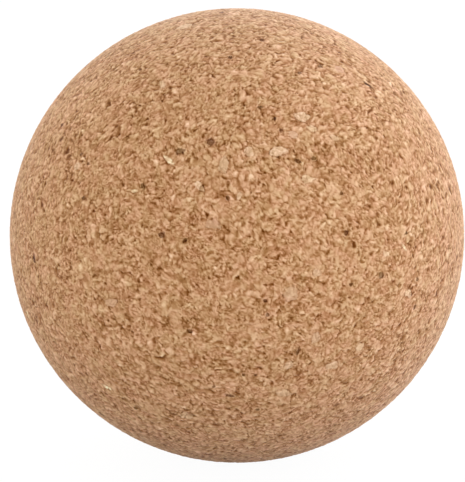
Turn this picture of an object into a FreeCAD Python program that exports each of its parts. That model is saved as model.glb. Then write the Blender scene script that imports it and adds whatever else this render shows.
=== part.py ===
"""Massage ball turned from agglomerated cork.

Fine cork granulate and a binder are pressed into one bonded mass, which is turned and sanded
to a sphere. The larger granules that the turned surface cuts through are separate pieces of
cork, bark and wood, each glued into its own seat in that mass and sanded flush with it.

Millimetres. The origin is the ball's centre and +Z is up. The face side is the side of the
ball whose granules are placed one by one; it looks towards -Y and upwards by FACE_ELEVATION.
"""

import FreeCAD
import Part

import math
import os
import random

BALL_DIAMETER = 65.0
FACE_ELEVATION = 18.0  # degrees above the horizon, seen from -Y

SEAT_DEPTH_SHARE = 0.45  # how deep a granule sits, as a share of its mean width
SEAT_DEPTH_MIN = 0.35
SEAT_DEPTH_MAX = 1.0
SEAT_FLOOR_SHARE = 0.7  # a granule's size at its seat's floor, as a share of that at the surface
TRIM_STOCK = 0.3  # how far a granule stood out before the ball was turned
CORNERS = (5, 8)  # fewest and most corners of a granule's outline
CORNER_TURN = 0.3  # how far round a corner wanders, as a share of the step between corners
CORNER_REACH = 0.18  # how far in or out a corner wanders, as a share of its reach
SLIVER_STATIONS = (-0.27, 0.2)  # where a sliver's side corners are, as shares of its length
SLIVER_WANDER = 0.06  # how far along they wander, as a share of its length

GRANULE_GAP = 0.35  # least width of bonded mass between two granules
FACE_LIMIT = 0.25  # granules are scattered only where less of the face side than this is seen
SCATTER_SEED = 7
VOLUME_TOLERANCE = 1.0  # mm3 by which the solids' volumes may miss the ball's

# Each kind of granule: how many are scattered off the face side, then the range of their
# length and the range of their width over length.
SCATTERED = {
    "pale_granules": (22, (1.1, 2.7), (0.55, 0.9)),
    "tan_granules": (11, (1.5, 2.7), (0.6, 0.95)),
    "bark_granules": (41, (0.6, 1.6), (0.4, 0.9)),
    "wood_slivers": (7, (1.2, 2.1), (0.28, 0.36)),
}

# The granules of the face side: across and up from its centre as shares of the radius,
# then length, width, and the turn of the length from the across direction in degrees.
FACE_GRANULES = {
    "pale_granules": [
        (0.28, 0.51, 2.5, 1.6, -15),
        (0.32, 0.46, 1.8, 1.1, -25),
        (0.42, 0.42, 1.5, 1.0, -20),
        (0.18, 0.36, 2.6, 1.7, 10),
        (0.05, 0.36, 1.7, 1.3, -50),
        (0.30, 0.24, 2.0, 1.3, 0),
        (0.01, 0.17, 1.1, 0.7, 70),
        (-0.06, 0.30, 2.6, 1.7, 80),
        (-0.16, 0.21, 1.9, 1.1, -45),
        (-0.32, 0.65, 2.0, 1.0, -50),
        (-0.69, 0.30, 1.3, 1.1, 0),
        (0.64, -0.08, 1.2, 0.9, 0),
        (0.74, -0.25, 1.8, 1.1, -20),
        (0.34, -0.16, 1.3, 1.1, 0),
        (0.53, -0.48, 1.6, 1.3, 0),
        (0.41, -0.56, 2.1, 1.8, 15),
        (0.22, -0.56, 1.6, 1.4, 40),
        (0.34, -0.44, 1.7, 1.4, 80),
        (0.20, -0.68, 2.4, 1.4, -15),
        (-0.22, -0.78, 2.3, 1.6, 0),
        (-0.23, 0.91, 2.6, 2.2, 10),
    ],
    "tan_granules": [
        (0.24, 0.43, 1.7, 1.2, 0),
        (0.23, -0.25, 2.5, 2.3, 30),
        (-0.11, 0.05, 2.6, 1.7, -10),
        (0.44, 0.72, 2.3, 1.5, 5),
        (-0.54, -0.29, 2.2, 1.5, 25),
    ],
    "bark_granules": [
        (0.26, 0.32, 1.3, 0.8, -20),
        (0.33, 0.33, 1.1, 0.8, 30),
        (0.19, 0.45, 0.8, 0.6, 20),
        (0.16, 0.50, 0.7, 0.5, 40),
        (0.10, 0.55, 1.0, 0.5, 0),
        (-0.24, 0.36, 1.5, 1.1, -10),
        (-0.11, 0.40, 1.5, 1.3, -20),
        (-0.40, 0.21, 1.3, 0.9, -60),
        (-0.04, 0.16, 1.0, 0.8, 0),
        (0.62, -0.17, 1.2, 1.0, 30),
        (0.49, -0.21, 0.7, 0.6, 0),
        (0.47, 0.01, 1.0, 0.6, 60),
        (0.45, 0.18, 0.8, 0.7, 0),
        (0.73, 0.01, 0.8, 0.6, 0),
        (0.78, -0.19, 0.7, 0.6, 0),
        (0.77, -0.31, 0.9, 0.5, 70),
        (-0.88, -0.10, 1.5, 1.1, 80),
        (-0.22, -0.02, 1.3, 0.7, 45),
        (-0.32, 0.00, 1.2, 1.0, 0),
        (0.36, 0.73, 0.8, 0.7, 0),
        (0.27, 0.70, 0.8, 0.5, 0),
        (0.11, 0.85, 0.7, 0.6, 0),
        (-0.03, 0.77, 0.9, 0.6, 60),
        (-0.76, 0.48, 0.8, 0.7, 0),
        (-0.76, 0.42, 1.0, 0.6, 80),
        (-0.67, 0.35, 0.6, 0.5, 0),
        (-0.64, 0.31, 0.6, 0.5, 0),
        (-0.66, 0.16, 0.9, 0.6, 0),
        (-0.44, -0.75, 0.7, 0.6, 0),
        (-0.03, -0.69, 1.9, 0.6, -15),
        (-0.10, -0.65, 0.7, 0.5, 40),
        (0.03, -0.60, 0.6, 0.5, 0),
        (0.08, -0.60, 0.6, 0.5, 0),
        (0.09, -0.75, 0.7, 0.6, 0),
        (-0.20, -0.41, 1.0, 0.8, 0),
        (0.13, -0.34, 0.7, 0.6, 0),
        (0.12, -0.28, 0.6, 0.5, 0),
        (0.26, -0.50, 1.6, 0.6, 85),
        (0.57, 0.65, 2.4, 0.6, -50),
    ],
    "wood_slivers": [
        (-0.29, 0.32, 2.7, 0.75, -38),
        (-0.44, 0.19, 1.3, 0.5, 0),
        (0.72, -0.05, 1.7, 0.55, -40),
        (-0.56, -0.66, 2.2, 0.8, -35),
    ],
}

RADIUS = BALL_DIAMETER / 2


def direction_on_face(across, up):
    """The unit vector from the ball's centre to a point of the face side."""
    tilt = math.radians(FACE_ELEVATION)
    outward = math.sqrt(1 - across**2 - up**2)
    right = FreeCAD.Vector(1, 0, 0)
    above = FreeCAD.Vector(0, math.sin(tilt), math.cos(tilt))
    towards = FreeCAD.Vector(0, -math.cos(tilt), math.sin(tilt))
    return right * across + above * up + towards * outward


def tangents(direction):
    """Two unit vectors square to direction and to each other: across, and up the ball."""
    tilt = math.radians(FACE_ELEVATION)
    above = FreeCAD.Vector(0, math.sin(tilt), math.cos(tilt))
    across = above.cross(direction)
    across.normalize()
    return across, direction.cross(across)


def granule_outline(length, width, rng):
    """The corners of a granule's outline, as (along, beside) offsets at the surface."""
    count = rng.randint(*CORNERS)
    corners = []
    for i in range(count):
        angle = 2 * math.pi * (i + rng.uniform(-CORNER_TURN, CORNER_TURN)) / count
        reach = rng.uniform(1 - CORNER_REACH, 1 + CORNER_REACH) / 2
        corners.append((length * reach * math.cos(angle), width * reach * math.sin(angle)))
    return corners


def sliver_outline(length, width, rng):
    """The corners of a sliver's outline: a tip at each end, and two corners on each side."""
    corners = []
    for side in (1, -1):
        corners.append((-side * length / 2, 0))
        for station in SLIVER_STATIONS:
            along = side * length * (station + rng.uniform(-SLIVER_WANDER, SLIVER_WANDER))
            beside = side * width * rng.uniform(0.4, 0.5)
            corners.append((along, beside))
    return corners


def closed_solid(rims):
    """The solid between two similar flat polygons, floor first."""
    floor, top = rims
    count = len(floor)
    faces = [Part.Face(Part.makePolygon(ring + ring[:1])) for ring in (floor, top)]
    for i in range(count):
        j = (i + 1) % count
        side = [floor[i], floor[j], top[j], top[i], floor[i]]
        faces.append(Part.Face(Part.makePolygon(side)))
    solid = Part.Solid(Part.Shell(faces))
    if solid.Volume < 0:
        solid.reverse()
    return solid


def rough_granule(kind, direction, length, width, turn, rng):
    """A granule before turning: it tapers inwards, and stands out of the ball by TRIM_STOCK."""
    across, up = tangents(direction)
    angle = math.radians(turn)
    along = across * math.cos(angle) + up * math.sin(angle)
    beside = direction.cross(along)
    depth = SEAT_DEPTH_SHARE * (length + width) / 2
    depth = min(max(depth, SEAT_DEPTH_MIN), SEAT_DEPTH_MAX)
    outline = sliver_outline if kind == "wood_slivers" else granule_outline
    corners = outline(length, width, rng)
    rims = []
    for height in (-depth, TRIM_STOCK):
        share = 1 + height / depth * (1 - SEAT_FLOOR_SHARE)
        centre = direction * (RADIUS + height)
        rims.append([centre + along * (a * share) + beside * (b * share) for a, b in corners])
    return closed_solid(rims)


def scattered_direction(rng):
    """A random direction that isn't on the face side."""
    facing = direction_on_face(0, 0)
    while True:
        z = rng.uniform(-1, 1)
        angle = rng.uniform(0, 2 * math.pi)
        flat = math.sqrt(1 - z * z)
        found = FreeCAD.Vector(flat * math.cos(angle), flat * math.sin(angle), z)
        if found.dot(facing) < FACE_LIMIT:
            return found


def clear_of(direction, reach, placed):
    """True if a granule of this half length leaves GRANULE_GAP to every placed one."""
    for other, other_reach in placed:
        gap = (direction - other).Length * RADIUS - reach - other_reach
        if gap < GRANULE_GAP:
            return False
    return True


def place_granules():
    """Every granule before turning, as {node: [solids]}."""
    rng = random.Random(SCATTER_SEED)
    placed = []
    solids = {kind: [] for kind in FACE_GRANULES}
    for kind, rows in FACE_GRANULES.items():
        for across, up, length, width, turn in rows:
            direction = direction_on_face(across, up)
            placed.append((direction, length / 2))
            solids[kind].append(rough_granule(kind, direction, length, width, turn, rng))
    for kind, (count, lengths, shares) in SCATTERED.items():
        for _ in range(count):
            length = rng.uniform(*lengths)
            width = length * rng.uniform(*shares)
            direction = scattered_direction(rng)
            while not clear_of(direction, length / 2, placed):
                direction = scattered_direction(rng)
            placed.append((direction, length / 2))
            turn = rng.uniform(0, 180)
            solids[kind].append(rough_granule(kind, direction, length, width, turn, rng))
    return solids


def make_parts():
    """The turned ball: {node: shape}, every granule trimmed to the sphere and seated."""
    ball = Part.makeSphere(RADIUS)
    rough = place_granules()
    parts = {kind: [ball.common(solid) for solid in solids] for kind, solids in rough.items()}
    body = ball.cut([solid for solids in rough.values() for solid in solids])
    parts["cork_body"] = [body]
    return parts


def check_parts(parts):
    """Fails unless every solid is valid and together they fill the ball."""
    solids = [solid for shapes in parts.values() for shape in shapes for solid in shape.Solids]
    if not all(solid.isValid() for solid in solids):
        raise ValueError("a solid isn't valid")
    total = sum(solid.Volume for solid in solids)
    ball = math.pi * BALL_DIAMETER**3 / 6
    print(f"together {total:.3f} mm3, the ball {ball:.3f} mm3")
    if abs(total - ball) > VOLUME_TOLERANCE:
        raise ValueError("the pieces don't fill the ball")


def write_parts(parts):
    """One STEP file per node."""
    os.makedirs("parts", exist_ok=True)
    for node, shapes in parts.items():
        solids = [solid for shape in shapes for solid in shape.Solids]
        whole = solids[0] if len(solids) == 1 else Part.makeCompound(solids)
        whole.exportStep(f"parts/{node}.step")
        volume = sum(solid.Volume for solid in solids)
        print(f"{node}: {len(solids)} solids, {volume:.2f} mm3")


ball_parts = make_parts()
check_parts(ball_parts)
write_parts(ball_parts)
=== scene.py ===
"""The looks of a cork massage ball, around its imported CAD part.

The bonded cork is one closed mesh whose surface is computed granule by granule. The coarse
granules are closed chips, each cut to the outline of its CAD solid and set in its seat.
Lengths are in millimetres until a mesh is made, which is in metres.
"""

import math

import bpy
import numpy as np
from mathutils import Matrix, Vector


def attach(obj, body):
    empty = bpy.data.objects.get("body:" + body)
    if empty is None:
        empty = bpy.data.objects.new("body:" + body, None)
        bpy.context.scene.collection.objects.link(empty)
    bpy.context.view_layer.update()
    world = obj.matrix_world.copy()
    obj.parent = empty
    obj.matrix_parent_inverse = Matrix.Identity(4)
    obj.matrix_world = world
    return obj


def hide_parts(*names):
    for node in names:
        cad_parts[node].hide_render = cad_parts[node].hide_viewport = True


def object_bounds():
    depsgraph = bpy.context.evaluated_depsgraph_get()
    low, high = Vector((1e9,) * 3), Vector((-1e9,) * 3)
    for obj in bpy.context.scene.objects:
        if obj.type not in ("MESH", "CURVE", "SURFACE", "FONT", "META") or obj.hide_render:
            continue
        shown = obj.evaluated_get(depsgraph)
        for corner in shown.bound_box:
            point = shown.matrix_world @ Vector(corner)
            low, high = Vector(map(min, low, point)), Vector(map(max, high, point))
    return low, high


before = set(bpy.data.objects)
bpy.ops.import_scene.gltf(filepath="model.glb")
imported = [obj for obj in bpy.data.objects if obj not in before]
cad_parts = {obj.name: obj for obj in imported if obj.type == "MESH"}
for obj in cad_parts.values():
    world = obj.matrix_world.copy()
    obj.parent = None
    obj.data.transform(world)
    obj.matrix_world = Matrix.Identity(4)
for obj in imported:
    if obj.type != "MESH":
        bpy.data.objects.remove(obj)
cad_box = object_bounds()

MM = 0.001
RADIUS = (cad_box[1] - cad_box[0]).z / 2 / MM

# The bonded cork's mesh: quads along each edge of the cube that is blown up to the ball.
BALL_SIDE = 360
ATLAS_MARGIN = 0.004  # how far a face of the cube stays inside its cell of the atlas

CORK_SEED = 3
CHIP_SEED = 21
LATTICE = 48  # random values along each side of a noise's table, before it repeats

# The bonded cork's texture: spacing of its coarse granules, of the fine ones in them and of its
# dark specks, and the sizes of the warps that make the borders uneven, with their reach.
COARSE_SPACING = 1.8
FINE_SPACING = 0.46
SPECK_SPACING = 2.0
WARPS = ((0.55, 0.12), (0.25, 0.07))

# Its relief: how far the grain stands out, and how deep the gaps, pits and splits are.
GRAIN_RELIEF = 0.02
LEAN_RELIEF = 0.01
GAP_DEPTH = 0.07
PIT_DEPTH = 0.07
SPLIT_DEPTH = 0.08

# Its tone: how much painted shade darkens the gaps, pits and splits, how much darker the dark
# specks are, and the tone above which paler cork is held back, with the share of the excess that
# is taken off.
GAP_PAINTED_SHADE = 0.74
PIT_PAINTED_SHADE = 0.9
SPLIT_PAINTED_SHADE = 0.3
SPECK_TONE = 2.6
PALE_KNEE = 1.2
PALE_HOLD = 0.4

# The chips: rings across a chip's top, how ragged its outline is as a share of its reach, how far
# it passes its seat's edge, how far its top falls at the edge, and how much the top tilts.
TOP_RINGS = 12
RAGGED = 0.07
OVERLAP = 0.04
EDGE_FALL = 0.04
TILT = 0.02

# Below its top: its size at the wall's foot and at the floor as shares of the top's, how deep the
# wall's foot is, and how deep the floor is, as a share of the CAD solid's depth and at least.
WALL_SHARES = (0.98, 0.9)
WALL_DROP = 0.2
CHIP_DEPTH_SHARE = 0.8
CHIP_DEPTH_MIN = 0.4

# The seats: how far the bonded cork is sunk under a chip, and how much painted shade darkens
# parts of its seam. A chip's floor is lower than that, so its foot passes into the bonded cork and
# no gap shows.
SEAT_SINK = 0.35
SEAM_PAINTED_SHADE = 0.8

# Colour: the middle of the cork's colours in 8-bit sRGB, and how far one step of tone moves it
# towards pale and towards dark.
CORK_MIDDLE = (195.5, 145, 103.5)
PALE_STEP = (17.5, 20.5, 22.5)
DARK_STEP = (21.0, 21.5, 22.5)
TONE_SPAN = 4.5  # tones run from -TONE_SPAN to TONE_SPAN
TONE_LIFT = 0.48  # what brings the mean of the raw tones to 0
TONE_GAIN = 2.42
ALBEDO = 0.87
SPECKLE = 0.15  # size of the finest speckle in the colour

# Camera: a long lens, a little above the ball's middle.
CAMERA_DISTANCE = 1.0
CAMERA_ELEVATION = 18.0
CAMERA_LENS = 522.0
CAMERA_SHIFT = (-0.0092, -0.0116)

# Surround: its level, and how its red, green and blue grow to the right, the back and the top.
SURROUND_LEVEL = 2.635
SURROUND_LEAN = ((0.5, 0.66, -1.98), (0.55, 0.7, -1.95), (0.68, 0.76, -1.93))

# Floor: its own whiteness, and how much of what the camera sees of it is an even glow.
FLOOR_ALBEDO = 0.6
FLOOR_GLOW = 0.92

# What hue leans each kind's colour between: a pinkish tint and a yellowish one.
TINTS = ((1.02, 0.978, 0.99), (0.98, 1.022, 0.955))
BARK_TINTS = ((1.03, 0.97, 1.06), (0.99, 1.02, 0.84))
PALE_TINTS = ((1.005, 0.985, 0.98), (0.995, 1.005, 0.93))

# Each kind of coarse granule: its piece, its material's name, its middle colour and its tints, how
# much its tones differ, how much of the bonded cork's texture it keeps, and how far out, as a
# share of the way to its edge, it is all its own colour.
KINDS = {
    "pale_granules": ("pale_chips", "pale_cork", (219, 178, 142), PALE_TINTS, 0.25, 0.5, 0.8),
    "tan_granules": ("tan_chips", "tan_cork", (207, 160, 126), TINTS, 0.3, 0.35, 0.8),
    "bark_granules": ("bark_chips", "bark", (120, 76, 40), BARK_TINTS, 0.3, 0.8, 0.65),
    "wood_slivers": ("wood_splinters", "sliver_wood", (242, 210, 171), PALE_TINTS, 0.2, 0.8, 0.5),
}


# Random fields over points in space


def smooth(low, high, values):
    """0 below low, 1 above high, and a smooth rise between; low may be the larger."""
    share = np.clip((values - low) / (high - low), 0, 1)
    return share * share * (3 - 2 * share)


def lattice_corners(points, size):
    """For each of the eight corners of the lattice cell that a point is in: the corner's index,
    the point's offset from it in cells, and its share of the point."""
    place = points / size
    low = np.floor(place).astype(np.int32)
    offset = (place - low).astype(np.float32)
    ease = offset * offset * (3 - 2 * offset)
    for corner in np.ndindex(2, 2, 2):
        index = tuple(((low + np.array(corner)) % LATTICE).T)
        share = np.where(corner, ease, 1 - ease).prod(axis=1)
        yield index, offset - np.array(corner, np.float32), share


def noise(points, size, rng):
    """A smooth random value at each point, about -1 to 1, that changes over this size."""
    table = rng.random((LATTICE, LATTICE, LATTICE), dtype=np.float32) * 2 - 1
    return 1.5 * sum(table[index] * share for index, _, share in lattice_corners(points, size))


def ripple(points, size, rng):
    """A random swing about 0 at each point, mostly -2 to 2, over about this size and no slower."""
    table = rng.normal(size=(LATTICE, LATTICE, LATTICE, 3)).astype(np.float32) / 0.45
    total = 0
    for index, offset, share in lattice_corners(points, size):
        total = total + (table[index] * offset).sum(axis=1) * share
    return total


def unit_vectors(count, rng):
    """Random directions."""
    found = rng.normal(size=(count, 3)).astype(np.float32)
    return found / np.linalg.norm(found, axis=1, keepdims=True)


def granules(points, spacing, ratio, rng, side=64):
    """Packed granules of uneven size and shape. Gives, for each point, the number of the granule
    that it lies in, its offset from that granule's middle and how far off the next one is, and
    then how many granules there are. A block of side granules each way repeats."""
    count = side**3
    seats = rng.random((count, 3), dtype=np.float32)
    along = unit_vectors(count, rng)
    across = unit_vectors(count, rng)
    across -= along * (across * along).sum(axis=1, keepdims=True)
    across /= np.linalg.norm(across, axis=1, keepdims=True)
    stretch = (1 / rng.uniform(1, ratio, count) ** 2 - 1).astype(np.float32)
    squeeze = (rng.uniform(1, ratio, count) ** 2 - 1).astype(np.float32)
    size = (rng.uniform(-0.22, 0.22, count) * spacing).astype(np.float32)

    place = (points / spacing).astype(np.float32)
    cell = np.floor(place).astype(np.int32)
    first = np.full(len(points), 1e9, np.float32)
    second = first.copy()
    number = np.zeros(len(points), np.int64)
    offset = np.zeros((len(points), 3), np.float32)
    for step in np.ndindex(3, 3, 3):
        near = cell + np.array(step, np.int32) - 1
        wrapped = near % side
        index = (wrapped[:, 0] * side + wrapped[:, 1]) * side + wrapped[:, 2]
        away = (place - near - seats[index]) * spacing
        a = (away * along[index]).sum(axis=1)
        b = (away * across[index]).sum(axis=1)
        square = (away * away).sum(axis=1) + stretch[index] * a * a + squeeze[index] * b * b
        distance = np.sqrt(np.maximum(square, 0)) - size[index]
        closer = distance < first
        second = np.where(closer, first, np.minimum(second, distance))
        first = np.where(closer, distance, first)
        number = np.where(closer, index, number)
        offset = np.where(closer[:, None], away, offset)
    return number, offset, second - first, count


def bonded_cork(points):
    """Tone, hue and height of the bonded cork's surface at each point."""
    rng = np.random.default_rng(CORK_SEED)
    warp = sum(
        np.stack([noise(points, size, rng) for _ in range(3)], axis=1) * reach
        for size, reach in WARPS
    )
    places = (points + warp).astype(np.float32)

    # Coarse granules. Each has its own grain direction and fineness, and holds fine granules.
    big, big_offset, big_gap, big_count = granules(places, COARSE_SPACING, 1.7, rng)
    axis = unit_vectors(big_count, rng)[big]
    shift = rng.random((big_count, 3)).astype(np.float32)[big] * 30
    fineness = rng.uniform(0.7, 1.35, big_count).astype(np.float32)[big, None]
    grainwise = big_offset - 0.5 * axis * (axis * big_offset).sum(axis=1, keepdims=True)
    grainwise = grainwise * fineness + shift
    small, small_offset, small_gap, small_count = granules(grainwise, FINE_SPACING, 1.5, rng)
    _, speck_offset, _, _ = granules(places, SPECK_SPACING, 1.6, rng)

    # What differs between granules and within them, and the gaps, pits and splits among them.
    big_tone = rng.normal(size=big_count)[big]
    busy = rng.uniform(0.78, 1.22, big_count)[big]
    small_tone = rng.normal(size=small_count)[small]
    # lean tilts each fine granule. The tone also takes it as painted shade, paler on the raised
    # side and darker on the lower side.
    lean = (rng.normal(size=(small_count, 3))[small] * small_offset).sum(axis=1) / 0.17
    grain = 0.55 * ripple(grainwise, 0.42, rng) + 0.2 * ripple(grainwise, 0.25, rng)
    pits = smooth(0.6, 1.6, ripple(grainwise, 0.45, rng))
    openness = smooth(-0.7, 0.5, noise(places, 0.7, rng))
    gap = (1 - smooth(0, 0.18, small_gap)) * (0.55 + 0.45 * openness)
    split = smooth(0.24, 0.03, big_gap) * smooth(-0.5, 0.5, noise(places, 1.4, rng))
    speck = smooth(0.24, 0.1, np.linalg.norm(speck_offset, axis=1))

    # Painted shade: the tone darkens the gaps, pits and splits, which are recesses in the relief.
    inner = 0.1 * small_tone + 0.15 * lean + grain - GAP_PAINTED_SHADE * gap - PIT_PAINTED_SHADE * pits
    tone = busy * inner + 0.06 * big_tone + 0.05 * noise(places, 0.9, rng) - SPLIT_PAINTED_SHADE * split
    tone = (tone + TONE_LIFT) * TONE_GAIN - SPECK_TONE * speck
    tone = tone - PALE_HOLD * np.maximum(tone - PALE_KNEE, 0)
    hue = 0.5 + 0.45 * noise(places, 1.0, rng) + 0.1 * rng.normal(size=big_count)[big]
    height = GRAIN_RELIEF * grain + LEAN_RELIEF * lean
    height = height - GAP_DEPTH * gap - PIT_DEPTH * pits - SPLIT_DEPTH * split
    return tone, hue, height


# Meshes


def cube_ball(side):
    """A cube blown up to a ball: unit directions of its corners, its quads, and the places of
    each quad's corners in an atlas of the cube's six faces."""
    steps = np.arange(side + 1)
    first, second = np.meshgrid(steps, steps, indexing="ij")
    keys = []
    places = []
    orders = []
    for face in range(6):
        axis = face % 3
        outer = face < 3
        corner = np.zeros((side + 1, side + 1, 3), np.int64)
        corner[..., axis] = side if outer else 0
        corner[..., (axis + 1) % 3] = first
        corner[..., (axis + 2) % 3] = second
        key = (corner[..., 0] * (side + 1) + corner[..., 1]) * (side + 1) + corner[..., 2]
        keys.append(key.ravel())
        inset = ATLAS_MARGIN + (1 - 2 * ATLAS_MARGIN) * np.stack([first, second], axis=-1) / side
        cell = np.array([face % 3, face // 3])
        places.append(((cell + inset) / np.array([3, 2])).reshape(-1, 2))
        grid = np.arange((side + 1) ** 2).reshape(side + 1, side + 1)
        ring = [grid[:-1, :-1], grid[1:, :-1], grid[1:, 1:], grid[:-1, 1:]]
        quads = np.stack(ring if outer else ring[::-1], axis=-1).reshape(-1, 4)
        orders.append(quads + face * (side + 1) ** 2)
    keys = np.concatenate(keys)
    places = np.concatenate(places)
    orders = np.concatenate(orders)
    lattice, joined = np.unique(keys, return_inverse=True)
    rows, third = np.divmod(lattice, side + 1)
    corners = np.stack([rows // (side + 1), rows % (side + 1), third], axis=1)
    on_cube = np.tan((corners / side - 0.5) * math.pi / 2)
    directions = on_cube / np.linalg.norm(on_cube, axis=1, keepdims=True)
    return directions.astype(np.float32), joined[orders], places[orders]


def make_mesh(name, points, faces, material, values, atlas=None):
    """An object of these faces, all with as many corners, with a value per point by name."""
    mesh = bpy.data.meshes.new(name)
    sides = faces.shape[1]
    mesh.vertices.add(len(points))
    mesh.vertices.foreach_set("co", (points * MM).astype(np.float32).ravel())
    mesh.loops.add(faces.size)
    mesh.loops.foreach_set("vertex_index", faces.astype(np.int32).ravel())
    mesh.polygons.add(len(faces))
    mesh.polygons.foreach_set("loop_start", np.arange(0, faces.size, sides, dtype=np.int32))
    mesh.update(calc_edges=True)
    mesh.polygons.foreach_set("use_smooth", np.ones(len(faces), bool))
    for label, data in values.items():
        layer = mesh.attributes.new(label, "FLOAT", "POINT")
        layer.data.foreach_set("value", data.astype(np.float32))
    if atlas is not None:
        layer = mesh.uv_layers.new(name="OFBake")
        layer.uv.foreach_set("vector", atlas.astype(np.float32).ravel())
    mesh.materials.append(material)
    piece = bpy.data.objects.new(name, mesh)
    bpy.context.scene.collection.objects.link(piece)
    return piece


def islands(node):
    """The separate solids of a CAD node, each as an array of the triangles' corners, in mm."""
    mesh = node.data
    mesh.calc_loop_triangles()
    points = np.array([v.co for v in mesh.vertices]) / MM
    _, welded = np.unique(np.round(points, 3), axis=0, return_inverse=True)
    welded = welded.ravel()
    triangles = [tuple(t.vertices) for t in mesh.loop_triangles]
    parent = list(range(welded.max() + 1))

    def root(i):
        while parent[i] != i:
            parent[i] = parent[parent[i]]
            i = parent[i]
        return i

    for corners in triangles:
        a, b, c = (root(welded[i]) for i in corners)
        parent[b] = a
        parent[c] = a
    groups = {}
    for corners in triangles:
        groups.setdefault(root(welded[corners[0]]), []).append(points[list(corners)])
    return [np.array(group) for group in groups.values()]


class Seat:
    """Where one coarse granule sits: its middle, and its outline at the ball's surface as
    distances from that middle at even angles."""

    ANGLES = 64
    SIDE_STEPS = 12  # points along each straight side of the CAD solid's outline
    SURFACE_BAND = 0.02  # how far below the ball's radius a corner still counts as on the surface

    def __init__(self, triangles):
        radii = np.linalg.norm(triangles, axis=2)
        outer = radii > RADIUS - self.SURFACE_BAND
        wall = ~outer.all(axis=1)
        rim = triangles[wall][outer[wall]]
        self.depth = RADIUS - radii.min()
        middle = rim.mean(axis=0)
        self.middle = middle / np.linalg.norm(middle)
        helper = np.array([0, 0, 1]) if abs(self.middle[2]) < 0.9 else np.array([1, 0, 0])
        self.across = np.cross(helper, self.middle)
        self.across /= np.linalg.norm(self.across)
        self.up = np.cross(self.middle, self.across)
        corners = np.stack([rim @ self.across, rim @ self.up], axis=1)
        corners = corners[np.argsort(np.arctan2(corners[:, 1], corners[:, 0]))]
        step = (np.arange(self.SIDE_STEPS) / self.SIDE_STEPS)[:, None, None]
        sides = (corners * (1 - step) + np.roll(corners, -1, axis=0) * step).reshape(-1, 2)
        angle = np.arctan2(sides[:, 1], sides[:, 0])
        order = np.argsort(angle)
        even = np.arange(self.ANGLES) * 2 * math.pi / self.ANGLES - math.pi
        self.reach = np.interp(even, angle[order], np.hypot(*sides.T)[order], period=2 * math.pi)
        self.span = self.reach.max()

    def polar(self, points):
        """Angle round the middle and distance from it of points on the surface."""
        x = points @ self.across
        y = points @ self.up
        return np.arctan2(y, x), np.hypot(x, y)

    def edge(self, angle):
        """The outline's distance from the middle at these angles."""
        even = np.arange(self.ANGLES) * 2 * math.pi / self.ANGLES - math.pi
        return np.interp(angle, even, self.reach, period=2 * math.pi)


def find_seats(node):
    """The seats of a CAD node's solids, from left to right, however the node was meshed."""
    return sorted((Seat(solid) for solid in islands(node)), key=lambda seat: seat.middle[0])


def press_seats(directions, seats, tone, height, rng):
    """Sinks the bonded cork under every coarse granule, and paints shade on parts of the seam
    round it.
    """
    seam = smooth(-0.3, 0.7, noise(directions * RADIUS, 0.9, rng))
    for seat in seats:
        near = np.flatnonzero(directions @ seat.middle > math.cos((seat.span + 0.4) / RADIUS))
        angle, reach = seat.polar(directions[near] * RADIUS)
        beyond = reach - seat.edge(angle)
        sunk = SEAT_SINK * smooth(0.06, -0.14, beyond)
        height[near] = height[near] * smooth(-0.1, 0.1, beyond) - sunk
        # Painted shade on parts of the seam where the chip meets the bonded cork.
        tone[near] -= SEAM_PAINTED_SHADE * seam[near] * smooth(0.2, 0.0, beyond)


def chip(seat, rng):
    """One coarse granule: its points, its triangles, and how near its edge each point is. Its top
    is in rings round the middle; a wall and a floor close it below the surface."""
    count = seat.ANGLES
    even = np.arange(count) * 2 * math.pi / count - math.pi
    rough = sum(rng.normal() / k * np.cos(k * even + rng.uniform(0, 6.3)) for k in range(3, 12))
    edge = seat.reach * (1 + RAGGED * rough) + OVERLAP
    tilt = rng.normal(size=2) * TILT
    steps = (np.arange(TOP_RINGS) + 1) / TOP_RINGS
    rings = [step * edge for step in steps] + [edge * wall for wall in WALL_SHARES]
    floor_drop = max(seat.depth * CHIP_DEPTH_SHARE, CHIP_DEPTH_MIN)
    drops = [EDGE_FALL * step**6 for step in steps] + [WALL_DROP, floor_drop]
    reach = np.concatenate([[0], *rings, [0]])
    drop = np.concatenate([[0], np.repeat(drops, count), drops[-1:]])
    share = np.concatenate([[0], np.repeat(steps, count), np.ones(2 * count + 1)])
    angle = np.concatenate([[0], np.tile(even, len(rings)), [0]])
    x = reach * np.cos(angle)
    y = reach * np.sin(angle)
    flat = seat.middle * RADIUS + np.outer(x, seat.across) + np.outer(y, seat.up)
    flat /= np.linalg.norm(flat, axis=1, keepdims=True)
    leaning = np.where(drop <= EDGE_FALL, tilt[0] * x + tilt[1] * y, 0)
    points = flat * (RADIUS - drop + leaning)[:, None]
    faces = []
    for i in range(count):
        j = (i + 1) % count
        faces.append((0, 1 + i, 1 + j))
        for ring in range(len(rings) - 1):
            inner = 1 + ring * count
            outer = inner + count
            faces.append((inner + i, outer + i, outer + j))
            faces.append((inner + i, outer + j, inner + j))
        last = 1 + (len(rings) - 1) * count
        faces.append((last + i, len(reach) - 1, last + j))
    return points, np.array(faces), share


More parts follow.
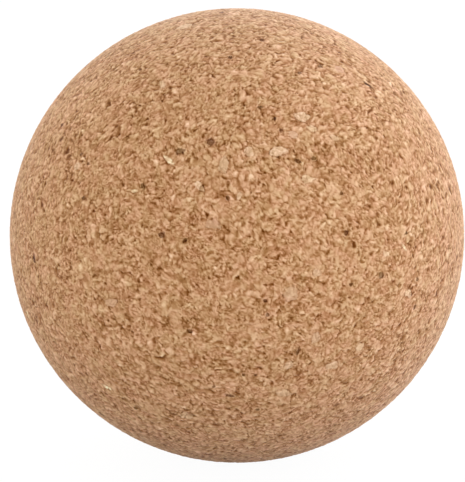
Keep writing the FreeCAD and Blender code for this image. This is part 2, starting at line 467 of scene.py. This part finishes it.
def chips(name, seats, material, spread, inner, core, rng):
    """All the coarse granules of one kind as one object of separate closed chips. spread is how
    much their tones differ, inner how much of the bonded cork's texture each one keeps, and core
    the share of the way to its edge within which it is all its own colour."""
    made = [chip(seat, rng) for seat in seats]
    sizes = [len(points) for points, _, _ in made]
    starts = np.cumsum([0] + sizes[:-1])
    points = np.concatenate([points for points, _, _ in made])
    faces = np.concatenate([faces + start for (_, faces, _), start in zip(made, starts)])
    share = np.concatenate([share for _, _, share in made])
    level = np.repeat(spread * rng.normal(size=len(made)), sizes)
    lean = np.repeat(rng.uniform(-0.5, 0.5, len(made)), sizes)

    outward = points / np.linalg.norm(points, axis=1, keepdims=True)
    texture, hue, relief = bonded_cork((outward * RADIUS).astype(np.float32))
    own = smooth(1.0, core, share + 0.15 * noise(points, 0.4, rng))
    tone = texture + own * (level + (inner - 1) * texture)
    points = points + outward * (0.5 * relief * (share < 1))[:, None]
    values = {"tone": 0.5 + tone / 2 / TONE_SPAN, "hue": hue + own * lean, "own": own}
    return make_mesh(name, points, faces, material, values)


# Materials


def linear(value):
    """8-bit sRGB to linear."""
    share = min(max(value / 255, 0.0), 1.0)
    return share / 12.92 if share <= 0.04045 else ((share + 0.055) / 1.055) ** 2.4


def add(tree, kind, **settings):
    """A node with these settings: an attribute by its name, or a socket by its label."""
    node = tree.nodes.new(kind)
    for key, value in settings.items():
        if hasattr(node, key):
            setattr(node, key, value)
        else:
            node.inputs[key.replace("_", " ")].default_value = value
    return node


def tone_ramp(tree, tone, middle):
    """The colour of a tone, from dark to pale, when this is the colour of the middle tone."""
    ramp = add(tree, "ShaderNodeValToRGB")
    stops = ramp.color_ramp.elements
    while len(stops) < 10:
        stops.new(0.5)
    for i, stop in enumerate(stops):
        share = i / (len(stops) - 1)
        level = (share * 2 - 1) * TONE_SPAN
        steps = PALE_STEP if level > 0 else DARK_STEP
        stop.position = share
        stop.color = [ALBEDO * linear(p + level * step) for p, step in zip(middle, steps)] + [1]
    tree.links.new(tone.outputs["Fac"], ramp.inputs["Fac"])
    return ramp.outputs["Color"]


def cork_material(name, middle, tints):
    """Matt cork. Its tone picks a colour between dark and pale, own leans that from the bonded
    cork's colours to this kind's, and hue leans it between two tints. Fine noise speckles it."""
    material = bpy.data.materials.new(name)
    material.use_nodes = True
    tree = material.node_tree
    shader = tree.nodes["Principled BSDF"]
    tone = add(tree, "ShaderNodeAttribute", attribute_name="tone")
    hue = add(tree, "ShaderNodeAttribute", attribute_name="hue")
    own = add(tree, "ShaderNodeAttribute", attribute_name="own")
    colour = add(tree, "ShaderNodeMix", data_type="RGBA")
    place = add(tree, "ShaderNodeTexCoord")
    speckle = add(tree, "ShaderNodeTexNoise", Scale=1 / (SPECKLE * MM), Detail=2.0)
    spread = add(tree, "ShaderNodeMapRange", To_Min=0.93, To_Max=1.07)
    tint = add(tree, "ShaderNodeMix", data_type="RGBA")
    tint.inputs["A"].default_value = tints[0] + (1.0,)
    tint.inputs["B"].default_value = tints[1] + (1.0,)
    tinted = add(tree, "ShaderNodeMix", data_type="RGBA", blend_type="MULTIPLY")
    tinted.inputs["Factor"].default_value = 1.0
    speckled = add(tree, "ShaderNodeMix", data_type="RGBA", blend_type="MULTIPLY")
    speckled.inputs["Factor"].default_value = 1.0
    bump = add(tree, "ShaderNodeBump", Strength=0.5, Distance=0.03 * MM)
    link = tree.links.new
    link(own.outputs["Fac"], colour.inputs[0])
    link(tone_ramp(tree, tone, CORK_MIDDLE), colour.inputs[6])
    link(tone_ramp(tree, tone, middle), colour.inputs[7])
    link(hue.outputs["Fac"], tint.inputs[0])
    link(colour.outputs[2], tinted.inputs[6])
    link(tint.outputs[2], tinted.inputs[7])
    link(place.outputs["Object"], speckle.inputs["Vector"])
    link(speckle.outputs["Fac"], spread.inputs["Value"])
    link(tinted.outputs[2], speckled.inputs[6])
    link(spread.outputs["Result"], speckled.inputs[7])
    link(speckled.outputs[2], shader.inputs["Base Color"])
    link(speckle.outputs["Fac"], bump.inputs["Height"])
    link(bump.outputs["Normal"], shader.inputs["Normal"])
    shader.inputs["Roughness"].default_value = 0.9
    shader.inputs["Specular IOR Level"].default_value = 0.05
    shader.inputs["Sheen Weight"].default_value = 0.18
    shader.inputs["Sheen Roughness"].default_value = 0.5
    return material


# The stage


def build_stage():
    """A pale seamless floor, and a soft surround that lights the ball from every side: white,
    and a little cooler and brighter towards the right and the back."""
    world = bpy.data.worlds.new("surround")
    world.use_nodes = True
    tree = world.node_tree
    place = add(tree, "ShaderNodeTexCoord")
    colour = add(tree, "ShaderNodeCombineColor")
    for channel, slope in enumerate(SURROUND_LEAN):
        lean = add(tree, "ShaderNodeVectorMath", operation="DOT_PRODUCT")
        lean.inputs[1].default_value = slope
        level = add(tree, "ShaderNodeMath", operation="ADD")
        level.inputs[1].default_value = SURROUND_LEVEL
        tree.links.new(place.outputs["Generated"], lean.inputs[0])
        tree.links.new(lean.outputs["Value"], level.inputs[0])
        tree.links.new(level.outputs["Value"], colour.inputs[channel])
    tree.links.new(colour.outputs["Color"], tree.nodes["Background"].inputs["Color"])
    bpy.context.scene.world = world

    material = bpy.data.materials.new("floor_white")
    material.use_nodes = True
    tree = material.node_tree
    tree.nodes["Principled BSDF"].inputs["Base Color"].default_value = (FLOOR_ALBEDO,) * 3 + (1,)
    tree.nodes["Principled BSDF"].inputs["Roughness"].default_value = 0.9
    path = add(tree, "ShaderNodeLightPath")
    share = add(tree, "ShaderNodeMath", operation="MULTIPLY")
    share.inputs[1].default_value = FLOOR_GLOW
    glow = add(tree, "ShaderNodeEmission", Strength=1.05)
    mixed = add(tree, "ShaderNodeMixShader")
    tree.links.new(path.outputs["Is Camera Ray"], share.inputs[0])
    tree.links.new(share.outputs["Value"], mixed.inputs[0])
    tree.links.new(tree.nodes["Principled BSDF"].outputs["BSDF"], mixed.inputs[1])
    tree.links.new(glow.outputs["Emission"], mixed.inputs[2])
    tree.links.new(mixed.outputs["Shader"], tree.nodes["Material Output"].inputs["Surface"])
    bpy.ops.mesh.primitive_plane_add(size=30, location=(0, 0, -RADIUS * MM))
    floor = bpy.context.object
    floor.name = "floor"
    floor.data.materials.append(material)


def build_camera():
    """The camera, looking at the ball's middle from the front."""
    data = bpy.data.cameras.new("camera")
    data.lens = CAMERA_LENS
    data.shift_x, data.shift_y = CAMERA_SHIFT
    data.clip_start = 0.05
    data.clip_end = 50
    camera = bpy.data.objects.new("camera", data)
    up = math.radians(CAMERA_ELEVATION)
    back = Vector((0, -math.cos(up), math.sin(up)))
    camera.location = back * CAMERA_DISTANCE
    camera.rotation_mode = "QUATERNION"
    camera.rotation_quaternion = (-back).to_track_quat("-Z", "Y")
    bpy.context.scene.collection.objects.link(camera)
    bpy.context.scene.camera = camera


# The ball


def build_ball():
    """The bonded cork and the chips that sit in it."""
    rng = np.random.default_rng(CHIP_SEED)
    directions, quads, atlas = cube_ball(BALL_SIDE)
    tone, hue, height = bonded_cork(directions * np.float32(RADIUS))
    seats = {kind: find_seats(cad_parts[kind]) for kind in KINDS}
    for kind in KINDS:
        press_seats(directions, seats[kind], tone, height, rng)
    points = directions * (RADIUS + height)[:, None]
    values = {"tone": np.clip(0.5 + tone / 2 / TONE_SPAN, 0, 1), "hue": np.clip(hue, 0, 1)}
    material = cork_material("cork", CORK_MIDDLE, TINTS)
    body = make_mesh("bonded_cork", points, quads, material, values, atlas)
    pieces = [(body, "cork_body", "cork")]
    for kind, (name, slot, middle, tints, spread, inner, core) in KINDS.items():
        material = cork_material(slot, middle, tints)
        piece = chips(name, seats[kind], material, spread, inner, core, rng)
        pieces.append((piece, kind, slot))
    for piece, node, slot in pieces:
        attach(piece, "root")
        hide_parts(node)


bpy.context.scene.view_settings.view_transform = "Standard"
build_ball()
build_stage()
build_camera()
